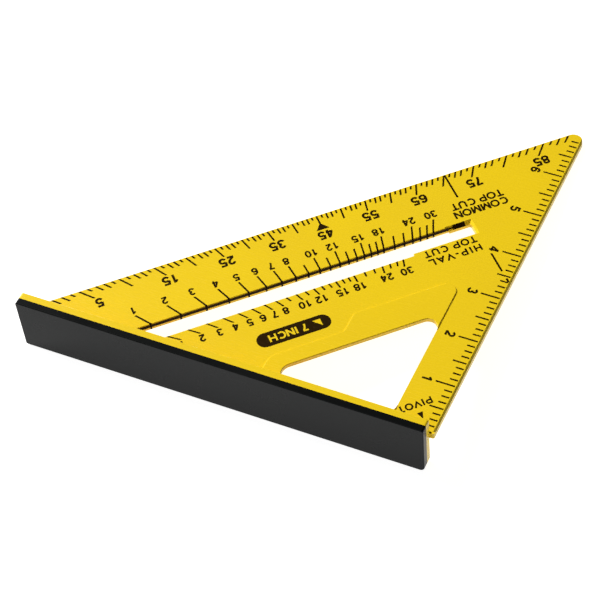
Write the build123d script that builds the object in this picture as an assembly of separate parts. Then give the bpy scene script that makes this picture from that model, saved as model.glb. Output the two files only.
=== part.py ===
"""Plastic rafter layout square (speed square) with a 7 inch ruler edge and a full-length T fence.

Two solid pieces: the moulded body, which is the triangular plate and the fence flange in one, and the cap that
covers the outer side of the fence.

Frame: millimetres, +Z up. The origin is the pivot point, the corner of the plate's top face where the zero of the
ruler edge meets the fence's bearing face. The fence runs along -X, the ruler edge runs along +Y.
Across the plate a second, turned pair of directions is used: "along" runs parallel to the hypotenuse towards the
ruler edge, and "out" runs square to the hypotenuse, away from the pivot.
"""

import os

from build123d import *

# Plate
PLATE_THICKNESS = 3.2
WEB_THICKNESS = 2.0          # between the rims, where the underside is hollowed, and of the raised panel
HYPOTENUSE_OUT = 130.0       # distance of the hypotenuse edge from the pivot
RULER_EDGE_X = 1.0           # the ruler edge stands this far past the pivot point
PIVOT_LIP = 0.3              # the pivot corner of the plate stands this far past the bearing face
TIP_RADIUS = 3.9
PIVOT_CORNER_RADIUS = 0.8
RULER_BEVEL = 0.8

# Fence: the body's flange, and the cap in front of it
FLANGE_THICKNESS = 3.4
CAP_THICKNESS = 3.2
FENCE_ABOVE = 8.2            # top of the fence above the plate's top face
FENCE_BELOW = 18.2           # bottom of the fence below the plate's top face
FENCE_NEAR_X = -1.0          # end of the fence at the pivot
FENCE_FAR_X = -187.2         # the other end, which leans in towards the bottom
FENCE_FAR_LEAN = 1.0
FENCE_CORNER_RADIUS = 1.0
FENCE_PIVOT_FOOT_RADIUS = 2.2
FLANGE_EDGE_RADIUS = 0.5     # rounding along the flange's free edges
CAP_EDGE_RADIUS = 0.45       # rounding around the cap's outer face
ROOT_RADIUS = 0.8            # fillet between the plate and the flange

# Marking slot, parallel to the hypotenuse
SLOT_IN = 92.0               # its two walls at its end, as distances from the pivot
SLOT_OUT = 99.3
SLOT_SCALE_IN = 91.1         # the two walls beside the scales
SLOT_SCALE_OUT = 100.1
NEAR_SCALE_END_ALONG = 30.4  # where the inner and the outer scale end
FAR_SCALE_END_ALONG = 50.2
SLOT_END_ALONG = 60.3
SLOT_END_RADIUS = 1.0
SLOT_BEVEL = 0.3             # along the two scales
SLOT_DEEP_BEVEL = 1.6        # along the outer wall past the scale
SLOT_END_BEVEL = 0.9         # across the end wall
SLOT_FENCE_GAP = 1.0         # the slot stops this far before the bearing face

# Triangular cut-out between the fence and the ruler leg
RULER_LEG_WIDTH = 18.3
CUTOUT_OUT = 56.0
CUTOUT_FENCE_GAP = 2.0
CUTOUT_FENCE_RADIUS = 5.4
CUTOUT_RULER_RADIUS = 4.2
CUTOUT_SQUARE_RADIUS = 6.0
CUTOUT_EDGE_BEVEL = 0.25

# Raised panel around the cut-out. Its outer edge steps in beside the fence end of the slot.
PANEL_HEIGHT = 0.45
PANEL_OUT = 70.9
PANEL_STEPPED_OUT = 63.3
PANEL_STEP_X = -54.0
PANEL_FAR_X = -77.5
PANEL_TIP_RADIUS = 4.1
PANEL_STEP_RADIUS = 3.0
PANEL_FAR_RADIUS = 8.0
PANEL_EDGE_RADIUS = 0.3

# Hollow in the underside, which leaves rims along the three sides and a full-thickness tip
RIM_WIDTH = 8.0
POCKET_RULER_X = -16.0
POCKET_TIP_ALONG = 49.0
POCKET_CORNER_RADIUS = 3.0
SLOT_RIB_WIDTH = 1.6         # full-thickness ribs left along both sides of the slot

# Round pegs on the cap's back, seated in blind sockets in the flange
PEG_COUNT = 7
PEG_RADIUS = 2.4
PEG_LENGTH = 1.6
PEG_CLEARANCE = 0.05
PEG_Z = -10.5
PEG_END_MARGIN = 14.0

SQRT2 = 2 ** 0.5
REACH = 260.0                # longer than anything in the part, for cutting shapes
FENCE_LENGTH = FENCE_NEAR_X - FENCE_FAR_X
HYPOTENUSE_SUM = HYPOTENUSE_OUT * SQRT2      # Y - X on the hypotenuse


def point_at(along, out):
    """The X, Y point with these two hypotenuse-aligned distances from the pivot."""
    return ((along - out) / SQRT2, (along + out) / SQRT2)


def turned_rectangle(along_from, along_to, out_from, out_to):
    """A rectangle with its sides parallel and square to the hypotenuse."""
    corners = [
        point_at(along_from, out_from),
        point_at(along_to, out_from),
        point_at(along_to, out_to),
        point_at(along_from, out_to),
    ]
    return make_face(Polyline(*corners, close=True))


def rounded(face, radii):
    """The face with the corners nearest to the given (x, y) points rounded, each with its own radius."""
    for (x, y), radius in radii:
        corner = min(face.vertices(), key=lambda vertex: (vertex.center() - Vector(x, y, 0)).length)
        face = fillet(corner, radius)
    return face


def plate_face():
    """The outline of the triangular plate, reaching a little way into the flange so that the two join."""
    root_y = -FLANGE_THICKNESS / 2
    tip = (RULER_EDGE_X, HYPOTENUSE_SUM + RULER_EDGE_X)
    pivot_corner = (RULER_EDGE_X, -PIVOT_LIP)
    outline = make_face(
        Polyline(
            pivot_corner,
            tip,
            (root_y - HYPOTENUSE_SUM, root_y),
            (FENCE_NEAR_X, root_y),
            (FENCE_NEAR_X, -PIVOT_LIP),
            close=True,
        )
    )
    return rounded(outline, [(tip, TIP_RADIUS), (pivot_corner, PIVOT_CORNER_RADIUS)])


def root_fillets():
    """The small concave fillets where the plate's top and underside meet the flange."""
    outer = Rectangle(ROOT_RADIUS, ROOT_RADIUS, align=Align.MIN)
    profile = outer - Pos(ROOT_RADIUS, ROOT_RADIUS) * Circle(ROOT_RADIUS)
    end_plane = Plane(origin=(FENCE_NEAR_X, 0, 0), x_dir=(0, 1, 0), z_dir=(1, 0, 0))
    upper = extrude(end_plane * profile, -FENCE_LENGTH)
    lower = Pos(0, 0, -PLATE_THICKNESS) * mirror(upper, Plane.XY)
    plate_column = extrude(plate_face(), PLATE_THICKNESS * 2, both=True)
    return (upper + lower) & plate_column


def fence_layer(y_from, y_to):
    """One full-length layer of the fence, with its end corners rounded."""
    profile = make_face(
        Polyline(
            (FENCE_NEAR_X, FENCE_ABOVE),
            (FENCE_FAR_X, FENCE_ABOVE),
            (FENCE_FAR_X + FENCE_FAR_LEAN, -FENCE_BELOW),
            (FENCE_NEAR_X, -FENCE_BELOW),
            close=True,
        )
    )
    profile = rounded(
        profile,
        [
            ((FENCE_NEAR_X, FENCE_ABOVE), FENCE_CORNER_RADIUS),
            ((FENCE_FAR_X, FENCE_ABOVE), FENCE_CORNER_RADIUS),
            ((FENCE_FAR_X + FENCE_FAR_LEAN, -FENCE_BELOW), FENCE_CORNER_RADIUS),
            ((FENCE_NEAR_X, -FENCE_BELOW), FENCE_PIVOT_FOOT_RADIUS),
        ],
    )
    upright = Plane(origin=(0, y_to, 0), x_dir=(1, 0, 0), z_dir=(0, -1, 0))
    return extrude(upright * profile, y_to - y_from)


def pegs(radius, length):
    """The row of round pegs, or of their sockets, reaching from the cap into the flange."""
    span = FENCE_LENGTH - 2 * PEG_END_MARGIN
    row = Part()
    for index in range(PEG_COUNT):
        x = FENCE_FAR_X + PEG_END_MARGIN + span * index / (PEG_COUNT - 1)
        peg = Cylinder(radius, length, align=(Align.CENTER, Align.CENTER, Align.MIN))
        row += Pos(x, -FLANGE_THICKNESS, PEG_Z) * Rot(-90, 0, 0) * peg
    return row


def slot_cut():
    """The slot: wider beside each scale, with a fine bevel there and a deep one around its end."""
    middle_out = (SLOT_IN + SLOT_OUT) / 2
    narrow = turned_rectangle(-REACH, SLOT_END_ALONG, SLOT_IN, SLOT_OUT)
    end_corners = [point_at(SLOT_END_ALONG, SLOT_IN), point_at(SLOT_END_ALONG, SLOT_OUT)]
    narrow = rounded(narrow, [(corner, SLOT_END_RADIUS) for corner in end_corners])
    inner_side = turned_rectangle(-REACH, NEAR_SCALE_END_ALONG, SLOT_SCALE_IN, middle_out)
    outer_side = turned_rectangle(-REACH, FAR_SCALE_END_ALONG, middle_out, SLOT_SCALE_OUT)
    cut = extrude(narrow + inner_side + outer_side, PLATE_THICKNESS * 2, both=True)

    near_bevel = turned_rectangle(-REACH, NEAR_SCALE_END_ALONG, SLOT_SCALE_IN - SLOT_BEVEL, middle_out)
    far_bevel = turned_rectangle(-REACH, FAR_SCALE_END_ALONG, middle_out, SLOT_SCALE_OUT + SLOT_BEVEL)
    deep_bevel = turned_rectangle(
        FAR_SCALE_END_ALONG - SLOT_DEEP_BEVEL,
        SLOT_END_ALONG + SLOT_END_BEVEL,
        SLOT_IN,
        SLOT_OUT + SLOT_DEEP_BEVEL,
    )
    cut += extrude(near_bevel, -SLOT_BEVEL, taper=45)
    cut += extrude(far_bevel, -SLOT_BEVEL, taper=45)
    cut += extrude(deep_bevel, -SLOT_DEEP_BEVEL, taper=45)
    inside_of_fence = Pos(0, SLOT_FENCE_GAP + REACH / 2, 0) * Box(2 * REACH, REACH, REACH)
    return cut & inside_of_fence


def cutout_face():
    """The outline of the triangular cut-out."""
    right = -RULER_LEG_WIDTH
    total = CUTOUT_OUT * SQRT2
    square_corner = (right, CUTOUT_FENCE_GAP)
    ruler_corner = (right, total + right)
    fence_corner = (CUTOUT_FENCE_GAP - total, CUTOUT_FENCE_GAP)
    outline = make_face(Polyline(square_corner, ruler_corner, fence_corner, close=True))
    return rounded(
        outline,
        [
            (square_corner, CUTOUT_SQUARE_RADIUS),
            (ruler_corner, CUTOUT_RULER_RADIUS),
            (fence_corner, CUTOUT_FENCE_RADIUS),
        ],
    )


def cutout_cut():
    """The cut-out, right through the plate and bevelled along its top edge on the raised panel."""
    opening = cutout_face()
    edge = extrude(offset(opening, CUTOUT_EDGE_BEVEL), -CUTOUT_EDGE_BEVEL, taper=45)
    return extrude(opening, PLATE_THICKNESS * 2, both=True) + Pos(0, 0, PANEL_HEIGHT) * edge


def panel_face():
    """The outline of the raised panel, reaching to the flange."""
    right = -RULER_LEG_WIDTH
    total = PANEL_OUT * SQRT2
    stepped_total = PANEL_STEPPED_OUT * SQRT2
    tip = (right, total + right)
    step_top = (PANEL_STEP_X, total + PANEL_STEP_X)
    step_bottom = (PANEL_STEP_X, stepped_total + PANEL_STEP_X)
    far_corner = (PANEL_FAR_X, stepped_total + PANEL_FAR_X)
    outline = make_face(
        Polyline((right, 0), tip, step_top, step_bottom, far_corner, (PANEL_FAR_X, 0), close=True)
    )
    return rounded(
        outline,
        [
            (tip, PANEL_TIP_RADIUS),
            (step_top, PANEL_STEP_RADIUS),
            (step_bottom, PANEL_STEP_RADIUS),
            (far_corner, PANEL_FAR_RADIUS),
        ],
    )


def panel():
    """The low raised panel around the cut-out, rounded along its top edge."""
    raised = extrude(panel_face(), PANEL_HEIGHT)
    top_edges = raised.edges().group_by(Axis.Z)[-1]
    free_edges = [edge for edge in top_edges if edge.center().Y > FLANGE_EDGE_RADIUS]
    return fillet(free_edges, PANEL_EDGE_RADIUS)


def underside_hollow():
    """The hollow under the plate: inside the rims, less the ribs beside the slot, and deeper under the panel."""
    rim_total = (HYPOTENUSE_OUT - RIM_WIDTH) * SQRT2
    tip_total = POCKET_TIP_ALONG * SQRT2     # X + Y at the hollow's end
    corners = [
        (POCKET_RULER_X, RIM_WIDTH),
        (POCKET_RULER_X, tip_total - POCKET_RULER_X),
        point_at(POCKET_TIP_ALONG, HYPOTENUSE_OUT - RIM_WIDTH),
        (RIM_WIDTH - rim_total, RIM_WIDTH),
    ]
    outline = make_face(Polyline(*corners, close=True))
    outline = rounded(outline, [(corner, POCKET_CORNER_RADIUS) for corner in corners])
    hollow = Pos(0, 0, -PLATE_THICKNESS) * extrude(outline, PLATE_THICKNESS - WEB_THICKNESS)

    ribs = turned_rectangle(-REACH, REACH, SLOT_SCALE_IN - SLOT_RIB_WIDTH, SLOT_SCALE_OUT + SLOT_RIB_WIDTH)
    hollow -= extrude(ribs, -PLATE_THICKNESS)
    under_panel = extrude(offset(panel_face(), -WEB_THICKNESS), -PLATE_THICKNESS)
    return hollow + Pos(0, 0, PANEL_HEIGHT - WEB_THICKNESS) * under_panel


def ruler_bevel():
    """The wedge that is cut from the top of the ruler edge."""
    start_y = RULER_BEVEL
    profile = make_face(
        Polyline(
            (RULER_EDGE_X - RULER_BEVEL, 0),
            (RULER_EDGE_X, -RULER_BEVEL),
            (RULER_EDGE_X + RULER_BEVEL, 0),
            close=True,
        )
    )
    upright = Plane(origin=(0, start_y, 0), x_dir=(1, 0, 0), z_dir=(0, -1, 0))
    return extrude(upright * profile, -REACH)


def flange():
    """The fence layer that is moulded with the plate, rounded along its free edges."""
    layer = fence_layer(-FLANGE_THICKNESS, 0)
    inner_edges = layer.faces().sort_by(Axis.Y)[-1].edges()
    return fillet(inner_edges, FLANGE_EDGE_RADIUS)


def square_body():
    """The yellow moulding: plate and flange in one, with slot, cut-out, panel, hollow and peg sockets."""
    body = flange() + extrude(plate_face(), -PLATE_THICKNESS) + root_fillets() + panel()
    body -= slot_cut()
    body -= cutout_cut()
    body -= underside_hollow()
    body -= ruler_bevel()
    body -= pegs(PEG_RADIUS + PEG_CLEARANCE, PEG_LENGTH + PEG_CLEARANCE)
    return body


def fence_cap():
    """The black cap on the fence's outer side, with its pegs."""
    layer = fence_layer(-FLANGE_THICKNESS - CAP_THICKNESS, -FLANGE_THICKNESS)
    outer_edges = layer.faces().sort_by(Axis.Y)[0].edges()
    return fillet(outer_edges, CAP_EDGE_RADIUS) + pegs(PEG_RADIUS, PEG_LENGTH)


os.makedirs("parts", exist_ok=True)
export_step(square_body(), "parts/square_body.step")
export_step(fence_cap(), "parts/fence_cap.step")
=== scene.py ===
import math

import bmesh
import bpy
from mathutils import Matrix, Quaternion, Vector
from mathutils.geometry import delaunay_2d_cdt


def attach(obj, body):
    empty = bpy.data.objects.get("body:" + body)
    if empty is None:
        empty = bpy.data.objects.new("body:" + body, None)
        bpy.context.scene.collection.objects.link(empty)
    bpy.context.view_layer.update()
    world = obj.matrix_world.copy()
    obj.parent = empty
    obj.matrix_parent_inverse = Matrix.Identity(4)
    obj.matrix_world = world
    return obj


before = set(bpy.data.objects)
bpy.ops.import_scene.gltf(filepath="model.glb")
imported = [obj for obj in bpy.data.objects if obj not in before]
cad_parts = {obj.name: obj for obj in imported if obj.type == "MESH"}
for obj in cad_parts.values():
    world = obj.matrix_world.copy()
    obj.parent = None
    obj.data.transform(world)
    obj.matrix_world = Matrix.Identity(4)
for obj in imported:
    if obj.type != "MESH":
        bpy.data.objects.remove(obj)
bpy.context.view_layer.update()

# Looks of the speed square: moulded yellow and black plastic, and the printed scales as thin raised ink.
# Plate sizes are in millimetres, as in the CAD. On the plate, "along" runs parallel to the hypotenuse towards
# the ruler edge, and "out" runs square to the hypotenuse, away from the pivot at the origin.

MM = 0.001
INCH = 25.4
SQRT2 = math.sqrt(2)

# The plate, as built in CAD
PLATE_THICKNESS = 3.2
PLATE_TIP_Y = 179.3
FENCE_FOOT_Z = -18.2
SLOT_SCALE_IN = 91.1
SLOT_SCALE_OUT = 100.1
SLOT_BEVEL = 0.3
SLOT_OUT = 99.3
SLOT_DEEP_BEVEL = 1.6
SLOT_FENCE_ALONG = -98.6
FAR_SCALE_END_ALONG = 50.2

# Print: how far the ink stands on the plastic and reaches into it
INK_PROUD = 0.02
INK_SUNK = 0.02
STROKE = 0.225               # line width of the lettering, in cap heights
ARC_STEP = 15                # degrees between points on a curved stroke

# Ruler scale
EIGHTHS = range(0, 56)
RULER_TICK_WIDTH = 0.8
RULER_TICK_START_X = -0.2
INCH_TICK = 8.7              # how far the ticks reach in from the scale line
HALF_TICK = 6.2
EIGHTH_TICK = 3.65
RULER_NUMERAL_X = -12.4
RULER_NUMERAL_HEIGHT = 4.3

# Degree scale
DEGREES = range(2, 89)
DEGREE_TICK_WIDTH = 0.82
DEGREE_TICK_END = 129.8
FIVE_DEGREE_TICK = 123.7
TWO_DEGREE_TICK = 126.5
ONE_DEGREE_TICK = 127.9
DEGREE_NUMERALS = {5: -102.5, 15: -70.6, 25: -44.7, 35: -21.5, 55: 21.9, 65: 44.9, 75: 71.3, 85: 103.7}
DEGREE_NUMERAL_OUT = 122.9   # baseline
DEGREE_NUMERAL_HEIGHT = 4.9
HALFWAY_NUMERAL_OUT = 120.3
HALFWAY_NUMERAL_HEIGHT = 4.7
HALFWAY_MARK = [(3.0, 121.3), (-3.0, 121.3), (0, 125.3)]     # the triangle at 45, as along and out

# The two rafter scales, as rise in inches on a run of 12 (common) or 12 times the square root of 2 (hip and
# valley)
RISES = [*range(1, 19), *range(20, 31, 2)]
NUMBERED_RISES = [1, 2, 3, 4, 5, 6, 7, 8, 10, 12, 15, 18, 24, 30]
COMMON_RUN = 12
HIP_RUN = 12 * SQRT2
RAFTER_TICK_WIDTH = 0.8
RAFTER_NUMERAL_HEIGHT = 3.85
COMMON_TICK_START = SLOT_SCALE_OUT + SLOT_BEVEL
COMMON_LONG_TICK = 107.2
COMMON_SHORT_TICK = 105.2
COMMON_NUMERAL_OUT = 112.2
COMMON_AIM = (-6.9, -18.9)   # along and out of the point these ticks aim at, near the pivot
BAND_DEPTH = 2.05            # foot of the band printed on the slot's wall below the common scale
BLOCK_START_ALONG = 52.1     # the printed block on the deep bevel at the slot's end
BLOCK_END_ALONG = 57.8
LINE_TOP_DEPTH = 0.6         # the line that joins the band to the block
LINE_FOOT_DEPTH = 1.1
LINE_OVERLAP = 0.1           # how far that line runs into the block
HIP_TICK_START = SLOT_SCALE_IN - SLOT_BEVEL
HIP_LONG_TICK = 86.8
HIP_SHORT_TICK = 88.2
HIP_NUMERAL_OUT = 86.0
HIP_AIM = (6.6, 13.9)

# Labels: the word, its cap height, where it starts and ends along the hypotenuse, and its baseline's out
LABELS = [
    ("COMMON", 4.0, 80.4, 55.0, 107.2),
    ("TOP CUT", 4.0, 80.3, 55.7, 112.2),
    ("HIP-VAL", 3.7, 58.9, 34.3, 86.0),
    ("TOP CUT", 3.7, 58.6, 34.1, 91.2),
    ("PIVOT", 3.4, 6.9, -8.3, 17.6),
]
PIVOT_ARROW = [(0.9, 11.6), (-1.7, 11.6), (-0.4, 8.0)]
BROKEN_LINE_ALONG = 60.9
BROKEN_LINE_WIDTH = 0.9
BROKEN_LINE_RUNS = [(60.8, 63.2), (67.7, 78.9), (115.1, DEGREE_TICK_END)]

# Size plaque: a bar with rounded ends, with the size and a small triangle left open in it
PLAQUE_ALONG = -32.0
PLAQUE_OUT = 72.3
PLAQUE_LENGTH = 33.0
PLAQUE_HEIGHT = 7.8
PLAQUE_RADIUS = 3.8
PLAQUE_TEXT = "7 INCH"
PLAQUE_TEXT_HEIGHT = 3.9
PLAQUE_TEXT_START = 6.4      # from the plaque's middle, towards the ruler edge
PLAQUE_TRIANGLE_START = 12.4
PLAQUE_TRIANGLE_LENGTH = 3.6

# Studio, in metres: the floor, the two softboxes as place, size and power, and the camera
PLATE_MIDDLE = Vector((-0.08, 0.06, 0))
FLOOR_HALF_SIZE = 3.0
KEY_SOFTBOX = ((-2.4, 0.75, 1.9), 1.15, 153)
FRONT_SOFTBOX = ((-0.5, -1.5, 1.4), 1.2, 6)
SURROUND_STRENGTH = 0.06
CAMERA_PLACE = Vector((0.2090, -0.4846, 0.6912))
CAMERA_AIM = Vector((-0.0784, 0.0450, 0))
CAMERA_ROLL = -5.49          # degrees
LENS = 130.0                 # millimetres, on a sensor 36 mm wide
SENSOR_WIDTH = 36.0


# ---------------------------------------------------------------- plate coordinates

def point_at(along, out):
    """The x, y point with these two hypotenuse-aligned distances from the pivot."""
    return ((along - out) / SQRT2, (along + out) / SQRT2)


def space_at(along, out, z):
    """The same point as a vector, at height z."""
    return Vector((*point_at(along, out), z))


OUTWARD = Vector((-1, 1, 0)).normalized()


# ---------------------------------------------------------------- lettering

def arc(cx, cy, rx, ry, start, end):
    """Points along an elliptical arc, with the angles in degrees."""
    steps = max(2, round(abs(end - start) / ARC_STEP))
    angles = [math.radians(start + (end - start) * i / steps) for i in range(steps + 1)]
    return [(cx + rx * math.cos(a), cy + ry * math.sin(a)) for a in angles]


# Each glyph is its advance and the centre lines of its strokes, in cap heights
GLYPHS = {
    "0": (0.77, [arc(0.38, 0.5, 0.25, 0.42, 0, 360)]),
    "1": (0.77, [[(0.44, 0), (0.44, 1)], [(0.17, 0.70), (0.42, 0.90)]]),
    "2": (0.77, [arc(0.38, 0.67, 0.235, 0.25, 170, -38) + [(0.13, 0.10)], [(0.08, 0.08), (0.67, 0.08)]]),
    "3": (0.77, [arc(0.37, 0.71, 0.21, 0.21, 165, -90), arc(0.37, 0.29, 0.25, 0.21, 90, -165)]),
    "4": (0.77, [[(0.52, 0), (0.52, 1)], [(0.06, 0.27), (0.70, 0.27)], [(0.12, 0.25), (0.49, 0.94)]]),
    "5": (0.77, [[(0.64, 0.92), (0.19, 0.92), (0.14, 0.50)], arc(0.37, 0.33, 0.26, 0.25, 138, -160)]),
    "6": (0.77, [arc(0.38, 0.31, 0.25, 0.23, 0, 360), arc(0.39, 0.48, 0.26, 0.44, 195, 38)]),
    "7": (0.77, [[(0.09, 0.92), (0.68, 0.92)], [(0.62, 0.90), (0.46, 0.62), (0.36, 0.32), (0.31, 0)]]),
    "8": (0.77, [arc(0.38, 0.73, 0.21, 0.19, 0, 360), arc(0.38, 0.30, 0.25, 0.22, 0, 360)]),
    "A": (1.00, [[(0.07, 0), (0.5, 0.82), (0.93, 0)], [(0.22, 0.27), (0.78, 0.27)]]),
    "C": (1.00, [arc(0.50, 0.5, 0.38, 0.42, 45, 315)]),
    "H": (1.00, [[(0.16, 0), (0.16, 1)], [(0.84, 0), (0.84, 1)], [(0.16, 0.52), (0.84, 0.52)]]),
    "I": (0.39, [[(0.19, 0), (0.19, 1)]]),
    "L": (0.85, [[(0.16, 1), (0.16, 0.08), (0.79, 0.08)]]),
    "M": (1.16, [[(0.16, 0), (0.16, 1)], [(0.99, 0), (0.99, 1)], [(0.18, 0.98), (0.58, 0.16), (0.97, 0.98)]]),
    "N": (1.00, [[(0.16, 0), (0.16, 1)], [(0.84, 0), (0.84, 1)], [(0.17, 0.96), (0.83, 0.04)]]),
    "O": (1.08, [arc(0.54, 0.5, 0.41, 0.42, 0, 360)]),
    "P": (
        0.93,
        [[(0.17, 0), (0.17, 1)], [(0.17, 0.92), *arc(0.54, 0.68, 0.24, 0.24, 90, -90), (0.17, 0.44)]],
    ),
    "T": (0.85, [[(0.04, 0.92), (0.81, 0.92)], [(0.425, 0), (0.425, 0.92)]]),
    "U": (1.00, [[(0.16, 1)] + arc(0.5, 0.38, 0.34, 0.30, 180, 360) + [(0.84, 1)]]),
    "V": (0.93, [[(0.06, 1), (0.465, 0.18), (0.87, 1)]]),
    "-": (0.46, [[(0.05, 0.36), (0.41, 0.36)]]),
    " ": (0.39, []),
}


def stroke_quads(points, width):
    """A line of this width through the points: a four-sided polygon for each run, mitred at the joints."""
    points = [Vector(p) for p in points]
    closed = (points[0] - points[-1]).length < 1e-6
    runs = [(b - a).normalized() for a, b in zip(points, points[1:])]
    offsets = []
    for i in range(len(points)):
        before = runs[i - 1] if i > 0 or closed else runs[0]
        after = runs[i] if i < len(runs) else (runs[0] if closed else runs[-1])
        bisector = (before + after).normalized()
        side = Vector((-bisector.y, bisector.x))
        cosine = max(0.3, side.dot(Vector((-after.y, after.x))))
        offsets.append(side * (width / 2 / cosine))
    quads = []
    for i in range(len(runs)):
        a, b = points[i], points[i + 1]
        quads.append([a - offsets[i], b - offsets[i + 1], b + offsets[i + 1], a + offsets[i]])
    return quads


def text_width(text, height):
    """The advance of a line of lettering."""
    return sum(GLYPHS[letter][0] for letter in text) * height


def lettering(text, height, origin, direction, length=None):
    """Polygons of a line of lettering that starts at origin and reads in the given direction. Its letters
    are spaced out to the given length, or left at their own."""
    origin = Vector(origin)
    right = Vector(direction).normalized()
    up = Vector((-right.y, right.x))
    spare = (length - text_width(text, height)) / (len(text) - 1) if length else 0
    polygons = []
    pen = 0
    for letter in text:
        advance, strokes = GLYPHS[letter]
        for stroke in strokes:
            for quad in stroke_quads(stroke, STROKE):
                polygons.append([origin + right * (pen + p.x * height) + up * (p.y * height) for p in quad])
        pen += advance * height + spare
    return polygons


def centred(text, height, middle, baseline_out):
    """A numeral that reads along the hypotenuse, away from the ruler edge, centred at this distance along."""
    start = middle + text_width(text, height) / 2
    return lettering(text, height, point_at(start, baseline_out), (-1, -1))


def label(text, height, start_along, end_along, baseline_out):
    """A word that reads along the hypotenuse between two distances along."""
    origin = point_at(start_along, baseline_out)
    return lettering(text, height, origin, (-1, -1), start_along - end_along)


# ---------------------------------------------------------------- ink meshes

def turns_left(polygon):
    """Whether the polygon's corners run counter-clockwise."""
    pairs = zip(polygon, [*polygon[1:], polygon[0]])
    return sum(a[0] * b[1] - a[1] * b[0] for a, b in pairs) > 0


def add_ink_sheet(mesh, polygons, holes=()):
    """Adds the union of flat polygons, less the holes, as a thin closed layer on the plate's top."""
    corners = []
    faces = []
    for polygon in [*polygons, *holes]:
        face = list(range(len(corners), len(corners) + len(polygon)))
        corners += [Vector((x, y)) for x, y in polygon]
        faces.append(face if turns_left(polygon) else face[::-1])
    points, _, triangles, _, _, sources = delaunay_2d_cdt(corners, [], faces, 1, 1e-5)
    first_hole = len(polygons)
    kept = [t for t, s in zip(triangles, sources) if s and max(s) < first_hole]

    used = sorted({i for triangle in kept for i in triangle})
    top = {i: mesh.verts.new((*points[i], INK_PROUD)) for i in used}
    bottom = {i: mesh.verts.new((*points[i], -INK_SUNK)) for i in used}
    edges = {(t[i], t[(i + 1) % 3]) for t in kept for i in range(3)}
    for triangle in kept:
        mesh.faces.new([top[i] for i in triangle])
        mesh.faces.new([bottom[i] for i in reversed(triangle)])
    for a, b in edges:
        if (b, a) not in edges:
            mesh.faces.new([top[b], top[a], bottom[a], bottom[b]])


def add_ink_patch(mesh, corners, normal):
    """Adds a thin closed layer of ink on a sloping or upright face, given its four corners and its normal."""
    normal = Vector(normal).normalized()
    outer = [mesh.verts.new(Vector(c) + normal * INK_PROUD) for c in corners]
    inner = [mesh.verts.new(Vector(c) - normal * INK_SUNK) for c in corners]
    mesh.faces.new(outer)
    mesh.faces.new(inner[::-1])
    for i in range(4):
        j = (i + 1) % 4
        mesh.faces.new([outer[j], outer[i], inner[i], inner[j]])


def add_slot_patch(mesh, along_from, along_to, top, bottom, normal):
    """A patch of ink on a face along the slot. top and bottom are the (out, z) of its two long edges."""
    corners = [
        space_at(along_from, *top),
        space_at(along_to, *top),
        space_at(along_to, *bottom),
        space_at(along_from, *bottom),
    ]
    add_ink_patch(mesh, corners, normal)


def finish_piece(name, mesh, material):
    """Turns the mesh, drawn in millimetres, into a named piece of the object."""
    bmesh.ops.scale(mesh, vec=(MM, MM, MM), verts=mesh.verts)
    bmesh.ops.recalc_face_normals(mesh, faces=mesh.faces)
    data = bpy.data.meshes.new(name)
    mesh.to_mesh(data)
    mesh.free()
    data.materials.append(material)
    piece = bpy.data.objects.new(name, data)
    bpy.context.scene.collection.objects.link(piece)
    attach(piece, "root")
    return piece


def along_on_tick(lean, out, true_out, aim):
    """Where a tick stands along the hypotenuse at this distance out. At true_out it crosses the line from the
    pivot at the angle lean, measured from the square to the hypotenuse. It points at aim, (along, out)."""
    aim_along, aim_out = aim
    share = (out - aim_out) / (true_out - aim_out)
    return aim_along + (true_out * math.tan(lean) - aim_along) * share


def tick(lean, out_from, out_to, width, true_out=1.0, aim=(0.0, 0.0)):
    """A straight tick between two distances out. It points at the pivot unless another aim is given."""
    half = width / 2 / math.cos(lean)
    start = along_on_tick(lean, out_from, true_out, aim)
    end = along_on_tick(lean, out_to, true_out, aim)
    return [
        point_at(start - half, out_from),
        point_at(start + half, out_from),
        point_at(end + half, out_to),
        point_at(end - half, out_to),
    ]


def build_ruler_scale(ink):
    """The inch scale, with a tick at every eighth and the numerals 1 to 6."""
    mesh = bmesh.new()
    polygons = []
    half = RULER_TICK_WIDTH / 2
    start = RULER_TICK_START_X
    for eighth in EIGHTHS:
        y = eighth * INCH / 8
        length = HALF_TICK if eighth % 4 == 0 else EIGHTH_TICK
        inch, eighths_past = divmod(eighth, 8)
        if inch and not eighths_past:
            length = INCH_TICK
        polygons.append([(-length, y - half), (start, y - half), (start, y + half), (-length, y + half)])
        if length == INCH_TICK:
            text = str(inch)
            width = text_width(text, RULER_NUMERAL_HEIGHT)
            baseline_x = RULER_NUMERAL_X - RULER_NUMERAL_HEIGHT / 2
            polygons += lettering(text, RULER_NUMERAL_HEIGHT, (baseline_x, y + width / 2), (0, -1))
    add_ink_sheet(mesh, polygons)
    return finish_piece("ruler_scale_print", mesh, ink)


def build_degree_scale(ink):
    """The degree scale along the hypotenuse, with its numerals and the triangle at 45."""
    mesh = bmesh.new()
    polygons = []
    for degree in DEGREES:
        reach = {0: FIVE_DEGREE_TICK, 2: TWO_DEGREE_TICK, 3: TWO_DEGREE_TICK}.get(degree % 5, ONE_DEGREE_TICK)
        lean = math.radians(degree - 45)
        polygons.append(tick(lean, reach, DEGREE_TICK_END, DEGREE_TICK_WIDTH))
    for degree, middle in DEGREE_NUMERALS.items():
        polygons += centred(str(degree), DEGREE_NUMERAL_HEIGHT, middle, DEGREE_NUMERAL_OUT)
    polygons += centred("45", HALFWAY_NUMERAL_HEIGHT, 0, HALFWAY_NUMERAL_OUT)
    polygons.append([point_at(*corner) for corner in HALFWAY_MARK])
    add_ink_sheet(mesh, polygons)
    return finish_piece("degree_scale_print", mesh, ink)


def rafter_leans(run):
    """Each rise of a rafter scale and the lean of its tick."""
    return [(rise, math.atan(rise / run) - math.pi / 4) for rise in RISES]


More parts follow.
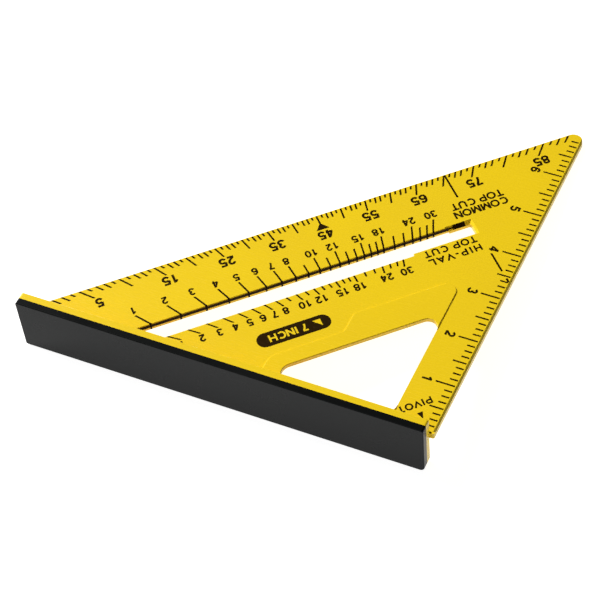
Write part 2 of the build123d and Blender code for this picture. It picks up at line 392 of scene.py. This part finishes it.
def build_common_scale(ink):
    """The common rafter scale above the slot. Its ticks run over the bevel and down the slot's wall, across a
    printed band, and the band ends in a block on the deeper bevel at the slot's end."""
    mesh = bmesh.new()
    polygons = []
    upper_bevel = (COMMON_TICK_START, 0)
    lower_bevel = (SLOT_SCALE_OUT, -SLOT_BEVEL)
    wall_foot = (SLOT_SCALE_OUT, -PLATE_THICKNESS)
    facing_up = Vector((0, 0, 1)) - OUTWARD
    half = RAFTER_TICK_WIDTH / 2
    for rise, lean in rafter_leans(COMMON_RUN):
        numbered = rise in NUMBERED_RISES
        reach = COMMON_LONG_TICK if numbered else COMMON_SHORT_TICK
        polygons.append(tick(lean, COMMON_TICK_START, reach, RAFTER_TICK_WIDTH, COMMON_LONG_TICK, COMMON_AIM))
        wide = half / math.cos(lean)
        middle = along_on_tick(lean, COMMON_TICK_START, COMMON_LONG_TICK, COMMON_AIM)
        add_slot_patch(mesh, middle - wide, middle + wide, upper_bevel, lower_bevel, facing_up)
        add_slot_patch(mesh, middle - half, middle + half, lower_bevel, wall_foot, -OUTWARD)
        if numbered:
            middle = COMMON_LONG_TICK * math.tan(lean)
            polygons += centred(str(rise), RAFTER_NUMERAL_HEIGHT, middle, COMMON_NUMERAL_OUT)
    add_ink_sheet(mesh, polygons)

    band_foot = (SLOT_SCALE_OUT, -BAND_DEPTH)
    add_slot_patch(mesh, SLOT_FENCE_ALONG, FAR_SCALE_END_ALONG, lower_bevel, band_foot, -OUTWARD)
    deep_top = SLOT_OUT + SLOT_DEEP_BEVEL
    line_top = (deep_top - LINE_TOP_DEPTH, -LINE_TOP_DEPTH)
    line_foot = (deep_top - LINE_FOOT_DEPTH, -LINE_FOOT_DEPTH)
    line_end = BLOCK_START_ALONG + LINE_OVERLAP
    add_slot_patch(mesh, FAR_SCALE_END_ALONG, line_end, line_top, line_foot, facing_up)
    block_foot = (SLOT_OUT, -SLOT_DEEP_BEVEL)
    add_slot_patch(mesh, BLOCK_START_ALONG, BLOCK_END_ALONG, (deep_top, 0), block_foot, facing_up)
    return finish_piece("common_scale_print", mesh, ink)


def build_hip_scale(ink):
    """The hip and valley rafter scale below the slot, whose ticks run onto the bevel."""
    mesh = bmesh.new()
    polygons = []
    facing_up = Vector((0, 0, 1)) + OUTWARD
    for rise, lean in rafter_leans(HIP_RUN):
        numbered = rise in NUMBERED_RISES
        reach = HIP_LONG_TICK if numbered else HIP_SHORT_TICK
        polygons.append(tick(lean, reach, HIP_TICK_START, RAFTER_TICK_WIDTH, HIP_LONG_TICK, HIP_AIM))
        half = RAFTER_TICK_WIDTH / 2 / math.cos(lean)
        middle = along_on_tick(lean, HIP_TICK_START, HIP_LONG_TICK, HIP_AIM)
        top = (HIP_TICK_START, 0)
        add_slot_patch(mesh, middle - half, middle + half, top, (SLOT_SCALE_IN, -SLOT_BEVEL), facing_up)
        if numbered:
            middle = HIP_LONG_TICK * math.tan(lean)
            polygons += centred(str(rise), RAFTER_NUMERAL_HEIGHT, middle, HIP_NUMERAL_OUT)
    add_ink_sheet(mesh, polygons)
    return finish_piece("hip_scale_print", mesh, ink)


def build_labels(ink):
    """The names of the scales, the pivot's name and arrow, and the broken line across the ruler end."""
    mesh = bmesh.new()
    polygons = []
    for text, height, start_along, end_along, baseline_out in LABELS:
        polygons += label(text, height, start_along, end_along, baseline_out)
    polygons.append([point_at(*corner) for corner in PIVOT_ARROW])
    left = BROKEN_LINE_ALONG - BROKEN_LINE_WIDTH / 2
    right = BROKEN_LINE_ALONG + BROKEN_LINE_WIDTH / 2
    for out_from, out_to in BROKEN_LINE_RUNS:
        corners = [(left, out_from), (right, out_from), (right, out_to), (left, out_to)]
        polygons.append([point_at(*corner) for corner in corners])
    add_ink_sheet(mesh, polygons)
    return finish_piece("label_print", mesh, ink)


def build_size_plaque(ink):
    """The plain dark bar with the square's size and a small triangle left open in it."""
    mesh = bmesh.new()
    outline = []
    for x, y, start in [(1, 1, 0), (-1, 1, 90), (-1, -1, 180), (1, -1, 270)]:
        cx = PLAQUE_ALONG + x * (PLAQUE_LENGTH / 2 - PLAQUE_RADIUS)
        cy = PLAQUE_OUT + y * (PLAQUE_HEIGHT / 2 - PLAQUE_RADIUS)
        outline += [point_at(*p) for p in arc(cx, cy, PLAQUE_RADIUS, PLAQUE_RADIUS, start, start + 90)]
    baseline_out = PLAQUE_OUT + PLAQUE_TEXT_HEIGHT / 2
    text_origin = point_at(PLAQUE_ALONG + PLAQUE_TEXT_START, baseline_out)
    holes = lettering(PLAQUE_TEXT, PLAQUE_TEXT_HEIGHT, text_origin, (-1, -1))
    corner_along = PLAQUE_ALONG + PLAQUE_TRIANGLE_START
    triangle = [
        (corner_along, baseline_out),
        (corner_along - PLAQUE_TRIANGLE_LENGTH, baseline_out),
        (corner_along, baseline_out - PLAQUE_TEXT_HEIGHT),
    ]
    holes.append([point_at(*corner) for corner in triangle])
    add_ink_sheet(mesh, [outline], holes)
    return finish_piece("size_plaque_print", mesh, ink)


# ---------------------------------------------------------------- materials

def new_material(name):
    """A new material, with its node tree, its shader and its object-space coordinates."""
    material = bpy.data.materials.new(name)
    material.use_nodes = True
    tree = material.node_tree
    shader = tree.nodes["Principled BSDF"]
    coordinates = tree.nodes.new("ShaderNodeTexCoord")
    return material, tree, shader, coordinates.outputs["Object"]


def noise(tree, coordinates, scale, detail=2.0, roughness=0.5, stretch=None):
    """A noise texture, stretched if asked, with scale in features per metre."""
    if stretch:
        mapping = tree.nodes.new("ShaderNodeMapping")
        mapping.inputs["Scale"].default_value = stretch
        tree.links.new(coordinates, mapping.inputs["Vector"])
        coordinates = mapping.outputs["Vector"]
    texture = tree.nodes.new("ShaderNodeTexNoise")
    texture.inputs["Scale"].default_value = scale
    texture.inputs["Detail"].default_value = detail
    texture.inputs["Roughness"].default_value = roughness
    tree.links.new(coordinates, texture.inputs["Vector"])
    return texture.outputs["Fac"]


def ramp(tree, value, low, high, low_result, high_result):
    """The value's range low to high turned into another range."""
    node = tree.nodes.new("ShaderNodeMapRange")
    node.inputs["From Min"].default_value = low
    node.inputs["From Max"].default_value = high
    node.inputs["To Min"].default_value = low_result
    node.inputs["To Max"].default_value = high_result
    tree.links.new(value, node.inputs["Value"])
    return node.outputs["Result"]


def mix_colors(tree, factor, first, second):
    """A mix of two colours, each a constant or another node's output."""
    node = tree.nodes.new("ShaderNodeMix")
    node.data_type = "RGBA"
    tree.links.new(factor, node.inputs["Factor"])
    for socket, color in ((node.inputs["A"], first), (node.inputs["B"], second)):
        if isinstance(color, tuple):
            socket.default_value = (*color, 1)
        else:
            tree.links.new(color, socket)
    return node.outputs["Result"]


def add_bump(tree, shader, height, strength, distance):
    """Bump from a height, with its depth in metres."""
    node = tree.nodes.new("ShaderNodeBump")
    node.inputs["Strength"].default_value = strength
    node.inputs["Distance"].default_value = distance
    tree.links.new(height, node.inputs["Height"])
    tree.links.new(node.outputs["Normal"], shader.inputs["Normal"])


def yellow_plastic():
    """Moulded ABS: warm yellow with a faint cloudiness, and fine scuffs in its gloss."""
    material, tree, shader, coordinates = new_material("yellow_plastic_look")
    clouds = noise(tree, coordinates, 22, detail=3)
    speckle = noise(tree, coordinates, 900, detail=2)
    base = mix_colors(tree, ramp(tree, clouds, 0.35, 0.65, 0, 1), (0.82, 0.57, 0.006), (0.80, 0.55, 0.008))
    base = mix_colors(tree, ramp(tree, speckle, 0.62, 0.8, 0, 0.25), base, (0.74, 0.46, 0.008))
    tree.links.new(base, shader.inputs["Base Color"])
    scuffs = noise(tree, coordinates, 160, detail=4, roughness=0.7, stretch=(1.0, 7.0, 1.0))
    tree.links.new(ramp(tree, scuffs, 0.3, 0.75, 0.24, 0.30), shader.inputs["Roughness"])
    add_bump(tree, shader, noise(tree, coordinates, 1400, detail=2), 0.05, 0.0001)
    shader.inputs["IOR"].default_value = 1.46
    return material


def black_plastic():
    """The cap: near-black moulded plastic with a fine texture and a soft gloss."""
    material, tree, shader, coordinates = new_material("black_plastic_look")
    clouds = noise(tree, coordinates, 35, detail=3)
    cloudy = ramp(tree, clouds, 0.3, 0.7, 0, 1)
    base = mix_colors(tree, cloudy, (0.0030, 0.0036, 0.0034), (0.0050, 0.0056, 0.0053))
    tree.links.new(base, shader.inputs["Base Color"])
    grain = noise(tree, coordinates, 2600, detail=2, roughness=0.6)
    tree.links.new(ramp(tree, clouds, 0.3, 0.7, 0.24, 0.30), shader.inputs["Roughness"])
    add_bump(tree, shader, grain, 0.06, 0.00008)
    shader.inputs["IOR"].default_value = 1.2
    return material


def printing_ink():
    """Pad-printed ink: warm black, thinner in small spots."""
    material, tree, shader, coordinates = new_material("printing_ink_look")
    thin = noise(tree, coordinates, 700, detail=3, roughness=0.6)
    base = mix_colors(tree, ramp(tree, thin, 0.55, 0.8, 0, 1), (0.020, 0.010, 0.0015), (0.032, 0.017, 0.003))
    tree.links.new(base, shader.inputs["Base Color"])
    tree.links.new(ramp(tree, thin, 0.3, 0.7, 0.32, 0.42), shader.inputs["Roughness"])
    add_bump(tree, shader, thin, 0.05, 0.00002)
    shader.inputs["IOR"].default_value = 1.1
    return material


def floor_paint():
    """A plain pale studio floor."""
    material, tree, shader, coordinates = new_material("studio_floor_look")
    mottle = noise(tree, coordinates, 3, detail=2)
    base = mix_colors(tree, ramp(tree, mottle, 0.3, 0.7, 0, 1), (0.42, 0.42, 0.42), (0.47, 0.47, 0.47))
    tree.links.new(base, shader.inputs["Base Color"])
    shader.inputs["Emission Color"].default_value = (1, 1, 1, 1)
    shader.inputs["Emission Strength"].default_value = 0.93
    shader.inputs["Roughness"].default_value = 0.9
    shader.inputs["IOR"].default_value = 1.2
    return material


# ---------------------------------------------------------------- studio

def build_floor():
    """A wide floor that the square rests on with the foot of its fence and the underside of its tip."""
    slope = math.atan2(-PLATE_THICKNESS - FENCE_FOOT_Z, PLATE_TIP_Y)
    mesh = bmesh.new()
    bmesh.ops.create_grid(mesh, x_segments=8, y_segments=8, size=FLOOR_HALF_SIZE)
    place = Matrix.Translation((0, 0, FENCE_FOOT_Z * MM)) @ Matrix.Rotation(slope, 4, "X")
    bmesh.ops.transform(mesh, matrix=place, verts=mesh.verts)
    data = bpy.data.meshes.new("studio_floor")
    mesh.to_mesh(data)
    mesh.free()
    data.materials.append(floor_paint())
    floor = bpy.data.objects.new("studio_floor", data)
    bpy.context.scene.collection.objects.link(floor)


def add_softbox(name, place, size, power):
    """A square white area light that faces the middle of the plate."""
    data = bpy.data.lights.new(name, "AREA")
    data.shape = "SQUARE"
    data.size = size
    data.energy = power
    light = bpy.data.objects.new(name, data)
    light.location = place
    light.rotation_euler = (PLATE_MIDDLE - light.location).to_track_quat("-Z", "Y").to_euler()
    bpy.context.scene.collection.objects.link(light)


def build_lights():
    """A large soft light from the left and behind, a weak one from the front, and a dim surround."""
    add_softbox("key_softbox", *KEY_SOFTBOX)
    add_softbox("front_softbox", *FRONT_SOFTBOX)
    world = bpy.data.worlds.new("studio_surround")
    world.use_nodes = True
    background = world.node_tree.nodes["Background"]
    background.inputs["Color"].default_value = (1, 1, 1, 1)
    background.inputs["Strength"].default_value = SURROUND_STRENGTH
    bpy.context.scene.world = world
    bpy.context.scene.view_settings.view_transform = "Standard"


def build_camera():
    """A long lens, high in front and to the right, turned a little about its own axis."""
    data = bpy.data.cameras.new("photo_camera")
    data.lens = LENS
    data.sensor_width = SENSOR_WIDTH
    data.clip_end = 20
    camera = bpy.data.objects.new("photo_camera", data)
    camera.location = CAMERA_PLACE
    roll = Quaternion((0, 0, 1), math.radians(CAMERA_ROLL))
    aim = (CAMERA_AIM - CAMERA_PLACE).to_track_quat("-Z", "Y")
    camera.rotation_mode = "QUATERNION"
    camera.rotation_quaternion = aim @ roll
    bpy.context.scene.collection.objects.link(camera)
    bpy.context.scene.camera = camera


node_looks = {"square_body": yellow_plastic(), "fence_cap": black_plastic()}
for node_name, look in node_looks.items():
    for material_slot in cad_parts[node_name].material_slots:
        material_slot.material = look

ink_look = printing_ink()
build_ruler_scale(ink_look)
build_degree_scale(ink_look)
build_common_scale(ink_look)
build_hip_scale(ink_look)
build_labels(ink_look)
build_size_plaque(ink_look)
build_floor()
build_lights()
build_camera()
